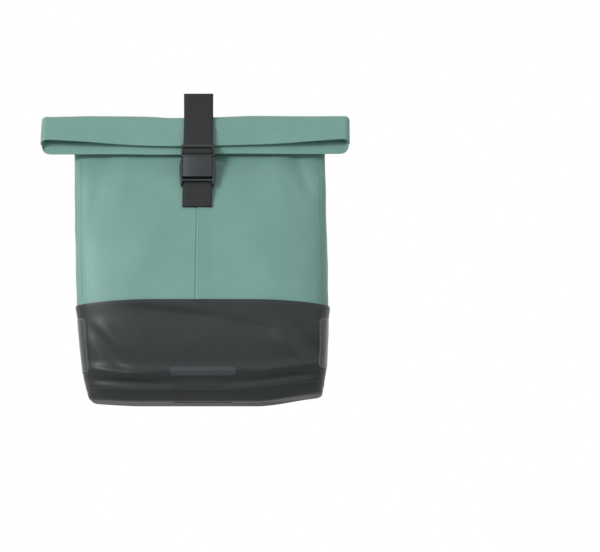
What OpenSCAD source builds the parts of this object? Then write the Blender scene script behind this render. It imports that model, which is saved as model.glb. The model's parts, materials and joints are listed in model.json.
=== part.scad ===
// Roll-top pannier bag. Front faces -Y, +Z is up, and the bag stands on its base at z = 0.
// Millimetres. Depths are counted forward from the back panel before the whole bag is centred on Y.

/* [Bag body] */
// Width of the flattened mouth, which is the widest part of the bag
mouth_w = 400; // [330:1:480]
// Width of the bag where it comes out under the roll
top_w = 328; // [270:1:380]
// Width of the bag at the seam between the two cloths
seam_w = 324; // [270:1:380]
// Width of the bag at the base seam
base_w = 304; // [250:1:360]
// Depth of the bag at its fullest
bag_depth = 130; // [105:1:170]
// Height of the fold line that the mouth rolls over
fold_z = 365; // [305:1:440]
// Height of the seam between upper and lower cloth
seam_z = 127; // [90:1:160]
// Height of the seam around the base
base_seam_z = 13; // [10:0.5:20]
// Thickness of the coated cloth
cloth_t = 1.8; // [1.2:0.1:2.4]
// Room between the two layers of the flattened mouth
mouth_gap = 8; // [6:0.5:12]

/* [Rolled mouth] */
// Angle of the rolled mouth from vertical
flap_lean = 20; // [12:1:26]
// Length of the outer layer beyond the fold
flap_outer_l = 30; // [22:1:45]
// Length of the inner layer beyond the fold
flap_inner_l = 40; // [30:1:55]
// Height of the hems
hem_h = 18; // [10:1:20]
// Extra thickness of a hem
hem_t = 0.8; // [0.4:0.1:1.2]

/* [Strap and buckle] */
// Width of the webbing
strap_w = 38; // [25:1:50]
// Thickness of the webbing
strap_t = 2; // [1.4:0.1:2.4]
// Height of the loose end above the fold
tail_h = 39; // [15:1:80]
// Height of the sewn end of the lower strap
lower_strap_z = 251; // [220:1:262]
// Angle of the buckle from vertical
buckle_lean = 24; // [18:1:30]
// Overall length of the closed buckle
buckle_l = 59; // [56:1:70]
// Thickness of the buckle
buckle_t = 9; // [8.8:0.1:11]
// Radius of a buckle magnet
magnet_r = 5; // [3:0.5:5]

/* [Rack hooks] */
// Diameter of the rack tube that the hooks take
tube_d = 16; // [10:0.5:20]
// Wall of the liner between hook and tube
liner_t = 1.9; // [1:0.1:3]
// Wall of a hook
hook_wall = 4; // [3:0.25:6]
// Width of a hook
hook_w = 22; // [18:1:30]
// Distance of each hook from the middle of the bag
hook_x = 85; // [70:1:95]
// Travel of a hook along the rail, each way
hook_travel = 12; // [4:1:12]
// Length of the upper rail
rail_l = 250; // [250:1:290]
// Height of the middle of the upper rail
rail_z = 306; // [290:1:306]
// Height of the rack tube above the middle of the rail
tube_rise = 32; // [28:1:36]
// Radius of a latch pin
pin_r = 2; // [1.5:0.25:2.5]

/* [Lower hook] */
// Height of the middle of the lower track
track_z = 95; // [70:1:110]
// Length of the lower track
track_l = 90; // [80:1:140]
// Reach of the lower hook behind the bag
fin_reach = 30; // [20:1:40]

/* [Hidden] */

// Fits and small shared sizes
seam_gap = 0.3;        // between two panels that are sewn edge to edge
touch = 0.2;           // between a piece and what it lies on
run = 0.3;             // between pieces that slide past each other
$fn = 48;

// The flattened neck: its back layer starts neck_back forward of the back panel
neck_back = 8;
neck_front = neck_back + 2 * cloth_t + mouth_gap;
hinge_y = -(neck_front + touch);
back_reach = 50;       // how far the latch tabs stand behind the back panel
y_shift = (bag_depth - back_reach) / 2;

// Heights as shares of fold_z, from the base up to the fold
belly_h = 0.2;
shoulder_h = 0.545;
chest_h = 0.68;
throat_h = 0.79;
lip_h = 0.9;
back_bend_h = 0.885;
neck_h = 0.94;
base_round = 9;        // how far the base is drawn in below its seam

function share(f) = neck_front + f * (bag_depth - neck_front);

// Forward depth of the front panels, forward depth of the back, and half width, by height
depth_rows = [
    [0, share(0.87) - base_round], [base_seam_z * 0.3, share(0.87) - base_round * 0.4],
    [base_seam_z, share(0.92)], [base_seam_z * 3, share(0.98)], [belly_h * fold_z, bag_depth],
    [seam_z, share(0.95)], [shoulder_h * fold_z, share(0.77)], [chest_h * fold_z, share(0.56)],
    [throat_h * fold_z, share(0.38)],
    [lip_h * fold_z, neck_front + 0.84 * tan(flap_lean) * (1 - lip_h) * fold_z],
    [fold_z, neck_front]
];
back_rows = [
    [0, base_round * 0.6], [base_seam_z * 0.3, base_round * 0.25], [base_seam_z, 0],
    [back_bend_h * fold_z, 0], [neck_h * fold_z, neck_back], [fold_z, neck_back]
];
half_w_rows = [
    [0, base_w / 2 - base_round], [base_seam_z * 0.3, base_w / 2 - base_round * 0.4],
    [base_seam_z, base_w / 2], [base_seam_z * 3, base_w / 2 + 4], [seam_z, seam_w / 2],
    [lip_h * fold_z, top_w / 2], [fold_z, mouth_w / 2]
];
front_power = 5;       // roundness of the front corners: higher is squarer
back_power = 14;

// The bag's outline runs once around a square, u = -1..1 along the front from left to right,
// 1..3 along the right side, 3..5 along the back and 5..7 along the left side.
function square_at(u) = u <= 1 ? [u, 1] : u <= 3 ? [1, 2 - u] : u <= 5 ? [4 - u, -1] : [-1, u - 6];
function round_off(s) = let (m = s[1] >= 0 ? front_power : back_power)
    s * pow(pow(abs(s[0]), m) + pow(abs(s[1]), m), -1 / m);
function bag_point(u, z, inset) =
    let (d = lookup(z, depth_rows), b = lookup(z, back_rows), w = lookup(z, half_w_rows),
         s = round_off(square_at(u < -1 ? u + 8 : u)))
    [s[0] * (w - inset), -((d + b) / 2 + s[1] * ((d - b) / 2 - inset)), z];

gusset_front = 1.15;   // where a side panel starts, a little behind the front corner
gusset_back = 2.75;    // where it ends, a little before the back corner
seam_u = 0.002;        // half a seam gap along the outline
half_front_us = [seam_u, 0.25, 0.5, 0.7, 0.85, 1, gusset_front - seam_u];
side_us = [gusset_front + seam_u, 1.4, 1.7, 2, 2.3, 2.6, gusset_back - seam_u];
back_us = [gusset_back + seam_u, 2.88, 3, 3.12, 3.4, 3.7, 4, 4.3, 4.6, 4.88, 5, 5.12,
    8 - gusset_back - seam_u];
function mirrored(us) = [for (i = [len(us) - 1:-1:0]) 8 - us[i]];
function flipped(us) = [for (i = [len(us) - 1:-1:0]) -us[i]];
lower_front_us = concat([for (i = [len(half_front_us) - 1:-1:1]) -half_front_us[i]], [0],
    [for (i = [1:len(half_front_us) - 1]) half_front_us[i]]);

upper_zs = [seam_z + seam_gap / 2, (seam_z + shoulder_h * fold_z) / 2, shoulder_h * fold_z,
    chest_h * fold_z, throat_h * fold_z, (throat_h + lip_h) / 2 * fold_z, back_bend_h * fold_z,
    lip_h * fold_z, neck_h * fold_z, fold_z - seam_gap];
lower_zs = [base_seam_z + seam_gap / 2, base_seam_z * 3, belly_h * fold_z,
    seam_z - seam_gap / 2];
base_zs = [0, base_seam_z * 0.3, base_seam_z * 0.65, base_seam_z - seam_gap / 2];

// Layers of the mouth, measured out from the hinge with the mouth held upright
inner_r = touch;
outer_r = inner_r + cloth_t + mouth_gap;
strap_r = outer_r + cloth_t + hem_t + touch;
tail_r = strap_r + strap_t + 2 * touch;
flap_start = 0.5;
fold_turn = 180 - flap_lean;

function flap_point(r, l) = [hinge_y + r * cos(fold_turn) - l * sin(fold_turn),
    fold_z + r * sin(fold_turn) + l * cos(fold_turn)];

// The buckle's own frame has its origin at the top of its back face and z up along the strap
buckle_y = flap_point(strap_r, flap_outer_l)[0] - 3;
buckle_z = flap_point(strap_r, flap_outer_l)[1] - 8.8;
function buckle_point(y, z) = [buckle_y + y * cos(buckle_lean) + z * sin(buckle_lean),
    buckle_z - y * sin(buckle_lean) + z * cos(buckle_lean)];
load_y = -(strap_t / 2 + 1);           // middle of the webbing behind the bars
loose_y = load_y - strap_t - 0.6;      // middle of the tail between webbing and top bar
wrap_y = loose_y - strap_t - 0.6;      // middle of the webbing over the grip bar
grip_y = (load_y + wrap_y) / 2;
grip_t = load_y - wrap_y - strap_t - 2 * touch;
grip_top = -7.4;
grip_h = 4;
grip_bottom = grip_top - grip_h;
turn_in = strap_t / 2 + 0.1;           // where the webbing bends as it turns round a bar
turn_out = strap_t / 2 + 2 * touch;
top_bar_h = 3.6;
plate_top = -15.2;
plate_bottom = -48;
plate_floor = -3;      // back face of the plate
tray_t = 2.6;
frame_w = strap_w + 5;
loop_bar_top = plate_bottom - 3.8;
loop_bar_h = 3;

// Rails
rail_base_t = 2.2;
rail_out_y = 9.2;
rail_half_h = 13;
cavity_half_h = 10.5;
slot_half_h = 6;
cavity_y = touch + rail_base_t;
cavity_top_y = 7;
bolt_r = 2.5;
bolt_head_r = 4;
bolt_head_t = 2;
bolt_clear = 0.3;
bolt_inner_x = 45;
bolt_outer_x = rail_l / 2 - 8;
cap_t = 3;
board_t = 3;
board_y = -(cloth_t + 0.6);            // back face of the back board
board_half_w = 122;
nut_t = 3.2;
nut_r = 4.6;
rail_bolt_xs = [-bolt_outer_x, -bolt_inner_x, bolt_inner_x, bolt_outer_x];
track_bolt_xs = [-(track_l / 2 - 8), track_l / 2 - 8];

// Hooks, in a frame whose origin is on the back panel at the middle of the rail
hook_y = rail_out_y + run;
tube_r = tube_d / 2;
liner_r = tube_r + 0.05;
socket_r = liner_r + liner_t + 0.05;
tube_y = hook_y + hook_wall + socket_r;
leg_y = tube_y + socket_r;
liner_leg_l = 8;
leg_t = 8;
cheek_l = 17;
latch_half_w = 5.7;
latch_slot = latch_half_w + run;
pivot = [leg_y + leg_t / 2, tube_rise - cheek_l + 4.5];
latch_hub_r = 4;
latch_arm_l = leg_y - hook_y - hook_wall - 1;
latch_tab_l = back_reach - pivot[0];
spring_gap = 4.2;
spring_wire_r = 0.45;
spring_turns = 3;
latch_range = 60;

// Helpers

// Outline of a band of thickness t along a line of points
function along(a, b) = (b - a) / norm(b - a);
function across(v) = [-v[1], v[0]];
function side_of(ps, i) = let (n = len(ps) - 1,
    before = along(ps[max(i - 1, 0)], ps[max(i, 1)]),
    after = along(ps[min(i, n - 1)], ps[min(i + 1, n)]),
    m = across(before) + across(after)) m / (m * across(before));
function band(ps, t) = concat(
    [for (i = [0:len(ps) - 1]) ps[i] + side_of(ps, i) * t / 2],
    [for (i = [len(ps) - 1:-1:0]) ps[i] - side_of(ps, i) * t / 2]);

// A flat outline in Y and Z, drawn out along X to a length, about its middle
module along_x(length) {
    rotate([90, 0, 90]) linear_extrude(length, center = true) children();
}

// Everything stands in the shared frame through this shift
module in_place() {
    translate([0, y_shift, 0]) children();
}

// A curved piece of cloth over the rows zs and the columns us, between two insets
module cloth(us, zs, outer = 0, inner = cloth_t) {
    nu = len(us);
    nz = len(zs);
    layer = nu * nz;
    points = [for (inset = [outer, inner]) for (z = zs) for (u = us) bag_point(u, z, inset)];
    function quad(a, b, c, d) = [[a, b, c], [a, c, d]];
    faces = [
        for (j = [0:nz - 2]) for (i = [0:nu - 2]) for (f = quad(
            j * nu + i, (j + 1) * nu + i, (j + 1) * nu + i + 1, j * nu + i + 1)) f,
        for (j = [0:nz - 2]) for (i = [0:nu - 2]) for (f = quad(
            layer + j * nu + i + 1, layer + (j + 1) * nu + i + 1,
            layer + (j + 1) * nu + i, layer + j * nu + i)) f,
        for (i = [0:nu - 2]) for (f = quad(i, i + 1, layer + i + 1, layer + i)) f,
        for (i = [0:nu - 2]) for (f = quad(
            (nz - 1) * nu + i + 1, (nz - 1) * nu + i,
            layer + (nz - 1) * nu + i, layer + (nz - 1) * nu + i + 1)) f,
        for (j = [0:nz - 2]) for (f = quad(
            (j + 1) * nu, j * nu, layer + j * nu, layer + (j + 1) * nu)) f,
        for (j = [0:nz - 2]) for (f = quad(
            j * nu + nu - 1, (j + 1) * nu + nu - 1,
            layer + (j + 1) * nu + nu - 1, layer + j * nu + nu - 1)) f
    ];
    in_place() polyhedron(points, faces);
}

// A stack of closed outlines with flat ends
module stack(rings) {
    n = len(rings[0]);
    last = len(rings) - 1;
    points = [for (ring = rings) for (p = ring) p];
    faces = concat(
        [[for (i = [0:n - 1]) i]],
        [for (k = [0:last - 1]) for (i = [0:n - 1]) for (f = [
            [k * n + i, (k + 1) * n + i, (k + 1) * n + (i + 1) % n],
            [k * n + i, (k + 1) * n + (i + 1) % n, k * n + (i + 1) % n]]) f],
        [[for (i = [n - 1:-1:0]) last * n + i]]);
    polyhedron(points, faces);
}

// Holes through the back panels for the bolts of a rail
module bolt_holes(xs, z) {
    for (x = xs) in_place() translate([x, 2, z])
        rotate([90, 0, 0]) cylinder(r = bolt_r + bolt_clear, h = 12, $fn = 24);
}

// Upper cloth
module front_left_panel() {
    color("#86aca1") cloth(flipped(half_front_us), upper_zs);
}
module front_right_panel() {
    color("#86aca1") cloth(half_front_us, upper_zs);
}
module left_gusset() {
    color("#7da398") cloth(mirrored(side_us), upper_zs);
}
module right_gusset() {
    color("#7da398") cloth(side_us, upper_zs);
}
module back_panel() {
    color("#7da398") difference() {
        cloth(back_us, upper_zs);
        bolt_holes(rail_bolt_xs, rail_z);
        handle_holes();
    }
}

// Lower cloth
module lower_front_panel() {
    color("#3c4244") cloth(lower_front_us, lower_zs);
}
module lower_left_side() {
    color("#3c4244") cloth(mirrored(side_us), lower_zs);
}
module lower_right_side() {
    color("#3c4244") cloth(side_us, lower_zs);
}
module lower_back_panel() {
    color("#3c4244") difference() {
        cloth(back_us, lower_zs);
        bolt_holes(track_bolt_xs, track_z);
    }
}
base_us = concat(lower_front_us, [for (i = [1:len(side_us) - 1]) side_us[i]],
    [for (i = [1:len(back_us) - 1]) back_us[i]],
    [for (i = [1:len(side_us) - 2]) mirrored(side_us)[i]]);
patch_w = 74;
patch_d = 50;
patch_t = 0.6;
base_t = 2.2;
function base_ring(z, inset) = [for (u = base_us) bag_point(u, z, inset)];
module base_panel() {
    top = len(base_zs) - 1;
    inner_floor = [for (p = base_ring(base_seam_z * 0.3, cloth_t)) [p[0], p[1], base_t]];
    color("#33383a") difference() {
        in_place() stack(concat(
            [for (z = base_zs) base_ring(z, 0)],
            [for (k = [top:-1:1]) base_ring(base_zs[k], cloth_t)],
            [inner_floor]));
        base_patch_at(touch, patch_t + touch);
    }
}

// Trim
module base_patch_at(grow, height) {
    in_place() translate([0, -share(0.45), height / 2 - 0.01])
        cube([patch_w + 2 * grow, patch_d + 2 * grow, height + 0.02], center = true);
}
module base_patch() {
    color("#4a5052") in_place() translate([-patch_w / 2, -share(0.45) - patch_d / 2, 0])
        cube([patch_w, patch_d, patch_t]);
}
pill_w = 84;
pill_h = 12;
pill_z = 37;
module front_patch() {
    half = pill_w / seam_w;
    color("#4a5052") cloth([-half, -half / 2, 0, half / 2, half],
        [pill_z - pill_h / 2, base_seam_z * 3, pill_z + pill_h / 2 + 2], -touch - patch_t, -touch);
}
reflector_us = [gusset_front - 0.3, gusset_front - 0.15, gusset_front, 1.4];
reflector_zs = [36, base_seam_z * 3, belly_h * fold_z, 108];
module right_reflector() {
    color("#777c7e") cloth(reflector_us, reflector_zs, -touch - patch_t, -touch);
}
module left_reflector() {
    color("#777c7e") cloth(flipped(reflector_us), reflector_zs, -touch - patch_t, -touch);
}

// Stiffeners inside the bag
board_bottom = base_seam_z + 6;
board_top = back_bend_h * fold_z - 3;
module back_board() {
    color("#22262a") difference() {
        in_place() translate([-board_half_w, board_y - board_t, board_bottom])
            cube([2 * board_half_w, board_t, board_top - board_bottom]);
        bolt_holes(rail_bolt_xs, rail_z);
        bolt_holes(track_bolt_xs, track_z);
    }
}
base_board_t = 3;
module base_board() {
    half_w = base_w / 2 - 2 * base_round;
    front = share(0.72);
    color("#22262a") in_place() translate([-half_w, -front, base_t + touch])
        cube([2 * half_w, front - base_round - board_t, base_board_t]);
}

// The rolled mouth: two layers joined at their ends, modelled upright at the hinge and turned down
function mouth_edge(us, inset) = [for (u = us) let (p = bag_point(u, fold_z, inset))
    [p[0], p[1] - hinge_y]];
inner_us = [-2 + seam_u * 4, -1.5, -1, -0.85, -0.5, 0, 0.5, 0.85, 1, 1.5, 2 - seam_u * 4];
outer_us = [2 + seam_u * 4, 2.5, 3, 3.15, 3.5, 4, 4.5, 4.85, 5, 5.5, 6 - seam_u * 4];
module mouth_layer(us, from, to, outer, inner) {
    along_edge = mouth_edge(us, outer);
    back_edge = mouth_edge(us, inner);
    n = len(us);
    in_place() translate([0, hinge_y, fold_z]) rotate([fold_turn, 0, 0])
        translate([0, 0, from]) linear_extrude(to - from)
            polygon(concat(along_edge, [for (i = [n - 1:-1:0]) back_edge[i]]));
}
module mouth_outer_layer() {
    color("#7ba597") {
        mouth_layer(outer_us, flap_start, flap_outer_l - hem_h, 0, cloth_t);
        mouth_layer(outer_us, flap_outer_l - hem_h, flap_outer_l, -hem_t, cloth_t);
    }
}
module mouth_inner_layer() {
    color("#7ba597") {
        mouth_layer(inner_us, flap_start, flap_inner_l - hem_h, 0, cloth_t);
        mouth_layer(inner_us, flap_inner_l - hem_h, flap_inner_l, 0, cloth_t + hem_t);
    }
}

// Webbing
load_path = [
    flap_point(strap_r + strap_t / 2, flap_start), flap_point(strap_r + strap_t / 2, flap_outer_l - 2),
    buckle_point(load_y, -2), buckle_point(load_y, grip_bottom - touch),
    buckle_point(load_y - turn_in, grip_bottom - turn_out),
    buckle_point(wrap_y + turn_in, grip_bottom - turn_out),
    buckle_point(wrap_y, grip_bottom - touch), buckle_point(wrap_y, grip_top + 0.3),
    buckle_point(loose_y, grip_top + 4),
    buckle_point(loose_y, -1), flap_point(tail_r + strap_t / 2, flap_outer_l - 8),
    flap_point(tail_r + strap_t / 2, 2), flap_point(tail_r + strap_t / 2, 0) + [1.5, 9],
    [flap_point(tail_r + strap_t / 2, 0)[0] + 2.5, fold_z + tail_h]
];
module load_strap() {
    color("#2d3133") in_place() along_x(strap_w) polygon(band(load_path, strap_t));
}
back_strap_z = back_bend_h * fold_z + 8;
module back_strap() {
    lift = strap_t / 2 + touch;
    low = -lookup(back_strap_z, back_rows) + lift;
    path = [[-neck_back + lift, fold_z - seam_gap], [-neck_back + lift, neck_h * fold_z + 1],
        [low, back_strap_z]];
    color("#2d3133") in_place() along_x(strap_w) polygon(band(path, strap_t));
}
module lower_strap() {
    lift = strap_t / 2 + touch + 0.3;
    front_ply = -(tray_t + strap_t / 2 + touch);
    rear_ply = strap_t / 2 + touch;
    over = loop_bar_top + strap_t / 2 + 0.5;
    path = [
        [-lookup(lower_strap_z, depth_rows) - lift, lower_strap_z],
        buckle_point(front_ply, loop_bar_top - loop_bar_h - 3),
        buckle_point(front_ply, loop_bar_top + 0.1),
        buckle_point(front_ply + strap_t / 2, over), buckle_point(rear_ply - strap_t / 2, over),
        buckle_point(rear_ply, loop_bar_top + 0.1),
        buckle_point(rear_ply, loop_bar_top - loop_bar_h - 1.5)
    ];
    color("#2d3133") in_place() along_x(strap_w) polygon(band(path, strap_t));
}

// Buckle: the top half drops into the tray from the front, and its lug takes the pull
module in_buckle() {
    in_place() translate([0, buckle_y, buckle_z]) rotate([-buckle_lean, 0, 0]) children();
}
module block(x0, x1, y0, y1, z0, z1) {
    translate([x0, y0, z0]) cube([x1 - x0, y1 - y0, z1 - z0]);
}
lug_top = -30;
lug_h = 6;
lug_d = 1.4;
lug_half_w = 5;
magnet_z = -42;
magnet_t = 1.5;
module disc_at(r, y0, y1, z) {
    translate([0, y0, z]) rotate([-90, 0, 0]) cylinder(r = r, h = y1 - y0);
}
module buckle_top() {
    half = frame_w / 2;
    inner = strap_w / 2 + 0.4;
    plate_half = strap_w / 2 - 0.3;
    color("#3a3f41") in_buckle() {
        difference() {
            union() {
                for (s = [-1, 1]) translate([s * (half + inner) / 2, 0, 0])
                    block(-(half - inner) / 2, (half - inner) / 2, -buckle_t, plate_floor,
                        plate_top - 0.1, 0);
                block(-half + 0.5, half - 0.5, -buckle_t, loose_y - strap_t / 2 - touch * 2,
                    -top_bar_h, 0);
                block(-half + 0.5, half - 0.5, grip_y - grip_t / 2, grip_y + grip_t / 2,
                    grip_bottom, grip_top);
                block(-half + 0.5, half - 0.5, -buckle_t, plate_floor, plate_top - 2.4, plate_top);
                block(-plate_half, plate_half, -buckle_t + 0.4, plate_floor,
                    plate_bottom, plate_top - 1);
                block(-lug_half_w, lug_half_w, plate_floor - 1, plate_floor + lug_d,
                    lug_top - lug_h, lug_top);
            }
            disc_at(magnet_r + 0.1, plate_floor - magnet_t - 0.1, plate_floor + 1, magnet_z);
        }
    }
}
module buckle_top_magnet() {
    color("#9a9da0") in_buckle() disc_at(magnet_r, plate_floor - magnet_t, plate_floor, magnet_z);
}
module buckle_base() {
    half = frame_w / 2;
    rail_in = strap_w / 2 + touch;
    bulge = half + 1.9;
    tray_top = plate_top - 2.8;
    rail_shape = [[rail_in, tray_top], [half, tray_top], [bulge, tray_top - 11],
        [bulge, tray_top - 22], [half + 0.6, -buckle_l + 4], [half - 0.4, -buckle_l],
        [rail_in, -buckle_l]];
    color("#34393b") in_buckle() difference() {
        union() {
            for (s = [0, 1]) mirror([s, 0, 0]) translate([0, 0, 0]) rotate([90, 0, 0])
                linear_extrude(buckle_t - 1) polygon(rail_shape);
            block(-rail_in - 0.5, rail_in + 0.5, -tray_t, 0, plate_bottom - 0.4, tray_top);
            block(-rail_in - 0.5, rail_in + 0.5, -tray_t, 0,
                loop_bar_top - loop_bar_h, loop_bar_top);
            block(-rail_in - 0.5, rail_in + 0.5, -buckle_t + 1, -tray_t - strap_t - 2 * touch,
                loop_bar_top - 2.4, loop_bar_top);
        }
        block(-lug_half_w - run, lug_half_w + run, -tray_t - 1, plate_floor + lug_d + run,
            lug_top - lug_h - run, lug_top + 0.8);
        disc_at(magnet_r + 0.1, -tray_t - 1, -tray_t + magnet_t + 0.1, magnet_z);
    }
}
module buckle_base_magnet() {
    color("#9a9da0") in_buckle() disc_at(magnet_r, -tray_t, -tray_t + magnet_t, magnet_z);
}

// Rails: a channel with a slot along its back
module channel(length, half_h, cavity_h, slot_h, out_y, inner_y, xs, z) {
    difference() {
        in_place() translate([0, 0, z]) along_x(length) polygon([
            [touch, -half_h], [out_y, -half_h], [out_y, -slot_h], [inner_y, -slot_h],
            [inner_y, -cavity_h], [cavity_y, -cavity_h], [cavity_y, cavity_h],
            [inner_y, cavity_h], [inner_y, slot_h], [out_y, slot_h], [out_y, half_h],
            [touch, half_h]]);
        for (x = xs) in_place() translate([x, cavity_y + 1, z])
            rotate([90, 0, 0]) cylinder(r = bolt_r + bolt_clear, h = 6);
    }
}
module bolts(xs, z, tip_y) {
    for (x = xs) in_place() translate([x, 0, z]) rotate([-90, 0, 0]) {
        translate([0, 0, cavity_y]) cylinder(r = bolt_head_r, h = bolt_head_t);
        translate([0, 0, tip_y]) cylinder(r = bolt_r, h = cavity_y - tip_y + 0.5);
    }
}
module nuts(xs, z, seat_y) {
    for (x = xs) in_place() translate([x, seat_y, z]) rotate([90, 0, 0]) difference() {
        cylinder(r = nut_r, h = nut_t, $fn = 6);
        translate([0, 0, -1]) cylinder(r = bolt_r + 0.05, h = nut_t + 2);
    }
}
nut_seat_y = board_y - board_t - 0.05;
bolt_tip_y = nut_seat_y - nut_t - 1;
module top_rail() {
    color("#9a9ea1") channel(rail_l, rail_half_h, cavity_half_h, slot_half_h, rail_out_y,
        cavity_top_y, rail_bolt_xs, rail_z);
}
module rail_end_caps() {
    color("#26292b") for (s = [-1, 1]) in_place() translate([s * (rail_l + cap_t) / 2, 0, rail_z]) {
        along_x(cap_t) polygon([[touch, -rail_half_h], [rail_out_y, -rail_half_h],
            [rail_out_y, rail_half_h], [touch, rail_half_h]]);
        translate([-s * 2, 0, 0]) along_x(cap_t + 1) polygon([
            [cavity_y + run, -cavity_half_h + run], [cavity_top_y - run, -cavity_half_h + run],
            [cavity_top_y - run, cavity_half_h - run], [cavity_y + run, cavity_half_h - run]]);
    }
}
module rail_bolts() {
    color("#b4b6b8") bolts(rail_bolt_xs, rail_z, bolt_tip_y);
}
module rail_nuts() {
    color("#b4b6b8") nuts(rail_bolt_xs, rail_z, nut_seat_y);
}

// Hooks
module in_hook(s) {
    in_place() translate([s * hook_x, 0, rail_z]) children();
}
module hook(s) {
    foot = [[cavity_y + run, -cavity_half_h + run], [cavity_top_y - run, -cavity_half_h + run],
        [cavity_top_y - run, -slot_half_h + run], [hook_y, -slot_half_h + run],
        [hook_y, -rail_half_h], [hook_y + hook_wall, -rail_half_h], [hook_y + hook_wall, tube_rise],
        [hook_y, tube_rise], [hook_y, slot_half_h - run], [cavity_top_y - run, slot_half_h - run],
        [cavity_top_y - run, cavity_half_h - run], [cavity_y + run, cavity_half_h - run]];
    color("#2b2f31") in_hook(s) {
        difference() {
            union() {
                along_x(hook_w) polygon(foot);
                translate([0, tube_y, tube_rise]) rotate([0, 90, 0])
                    cylinder(r = socket_r + hook_wall, h = hook_w, center = true, $fn = 72);
                along_x(hook_w) polygon([[leg_y, tube_rise - cheek_l], [leg_y + leg_t - 1,
                    tube_rise - cheek_l], [leg_y + leg_t, tube_rise - cheek_l + 1],
                    [leg_y + leg_t, tube_rise - 9], [leg_y + hook_wall, tube_rise],
                    [leg_y, tube_rise]]);
            }
            translate([0, tube_y, tube_rise]) rotate([0, 90, 0])
                cylinder(r = socket_r, h = hook_w + 2, center = true, $fn = 72);
            along_x(hook_w + 2) polygon([[tube_y - socket_r, -50], [tube_y + socket_r, -50],
                [tube_y + socket_r, tube_rise], [tube_y - socket_r, tube_rise]]);
            along_x(2 * latch_slot) polygon([[leg_y - 1, tube_rise - cheek_l - 1],
                [leg_y + leg_t + 1, tube_rise - cheek_l - 1],
                [leg_y + leg_t + 1, pivot[1] + latch_hub_r + 1.2],
                [leg_y - 1, pivot[1] + latch_hub_r + 1.2]]);
            translate([0, pivot[0], pivot[1]]) rotate([0, 90, 0])
                cylinder(r = pin_r + 0.02, h = hook_w + 2, center = true);
        }
    }
}
module left_hook() {
    hook(-1);
}
module right_hook() {
    hook(1);
}
module tube_liner(s) {
    color("#4b4f51") in_hook(s) translate([0, tube_y, tube_rise]) difference() {
        union() {
            rotate([0, 90, 0]) cylinder(r = liner_r + liner_t, h = hook_w, center = true, $fn = 72);
            along_x(hook_w) polygon([[-liner_r - liner_t, -liner_leg_l], [liner_r + liner_t, -liner_leg_l],
                [liner_r + liner_t, 0], [-liner_r - liner_t, 0]]);
        }
        rotate([0, 90, 0]) cylinder(r = liner_r, h = hook_w + 2, center = true, $fn = 72);
        along_x(hook_w + 2) polygon([[-liner_r, -liner_leg_l - 4], [liner_r, -liner_leg_l - 4], [liner_r, 0],
            [-liner_r, 0]]);
    }
}
module left_tube_liner() {
    tube_liner(-1);
}
module right_tube_liner() {
    tube_liner(1);
}
module latch(s) {
    width = 2 * latch_half_w - spring_gap;
    color("#5a5f62") in_hook(s) translate([-spring_gap / 2, pivot[0], pivot[1]]) difference() {
        union() {
            rotate([0, 90, 0]) cylinder(r = latch_hub_r, h = width, center = true);
            along_x(width) polygon([[-latch_arm_l, -1], [-latch_arm_l + 2, -3.2], [-2, -3.8], [0, 0],
                [-2, 2.2], [-latch_arm_l + 1, 2.2], [-latch_arm_l, 1.4]]);
            along_x(width) polygon([[1, -3.8], [latch_tab_l - 1, -4], [latch_tab_l, -3],
                [latch_tab_l, -1.5], [3, -1.2]]);
        }
        rotate([0, 90, 0]) cylinder(r = pin_r + 0.06, h = width + 2, center = true);
    }
}
module left_latch() {
    latch(-1);
}
module right_latch() {
    latch(1);
}
module latch_pin(s) {
    color("#b4b6b8") in_hook(s) translate([0, pivot[0], pivot[1]]) rotate([0, 90, 0])
        cylinder(r = pin_r, h = hook_w, center = true);
}
module left_latch_pin() {
    latch_pin(-1);
}
module right_latch_pin() {
    latch_pin(1);
}
module latch_spring(s) {
    steps = 14 * spring_turns;
    sides = 8;
    coil_r = pin_r + 0.25 + spring_wire_r;
    pitch = (spring_gap - 2 * spring_wire_r - 0.8) / spring_turns;
    ring = function (k) let (a = 360 * k / 14, x = pitch * k / 14)
        [for (j = [0:sides - 1]) let (b = 360 * j / sides, r = coil_r + spring_wire_r * cos(b))
            [x + spring_wire_r * sin(b), r * cos(a), r * sin(a)]];
    color("#c3c5c7") in_hook(s) translate([latch_half_w - spring_gap + 0.4 + spring_wire_r,
        pivot[0], pivot[1]]) stack([for (k = [0:steps]) ring(k)]);
}
module left_latch_spring() {
    latch_spring(-1);
}
module right_latch_spring() {
    latch_spring(1);
}

// Carry handle: a webbing arch under the rail, riveted through the back
handle_z = rail_z - 36;
handle_half = 62;
handle_h = 25;
handle_arch = 20;
rivet_x = handle_half - 7;
rivet_r = 2;
module handle_holes() {
    for (s = [-1, 1]) in_place() translate([s * rivet_x, 2, handle_z])
        rotate([90, 0, 0]) cylinder(r = rivet_r + 0.2, h = 5, $fn = 24);
}
module carry_handle() {
    low = touch + strap_t / 2;
    half_path = [[handle_half, low], [handle_half - 14, low], [handle_half - 24, low + 6],
        [handle_half - 36, handle_arch - 3], [8, handle_arch]];
    path = concat(half_path, [for (i = [len(half_path) - 1:-1:0])
        [-half_path[i][0], half_path[i][1]]]);
    color("#2d3133") difference() {
        in_place() translate([0, 0, handle_z - handle_h / 2]) linear_extrude(handle_h)
            polygon(band(path, strap_t));
        for (s = [-1, 1]) in_place() translate([s * rivet_x, 5, handle_z])
            rotate([90, 0, 0]) cylinder(r = rivet_r + 0.1, h = 8);
    }
}
module handle_rivets() {
    color("#b4b6b8") for (s = [-1, 1]) in_place() translate([s * rivet_x, 0, handle_z])
        rotate([-90, 0, 0]) {
            translate([0, 0, strap_t + 2 * touch]) cylinder(r = 4.5, h = 1.2);
            translate([0, 0, -cloth_t - 0.1]) cylinder(r = rivet_r,
                h = cloth_t + strap_t + 2 * touch + 0.6);
        }
}

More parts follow.
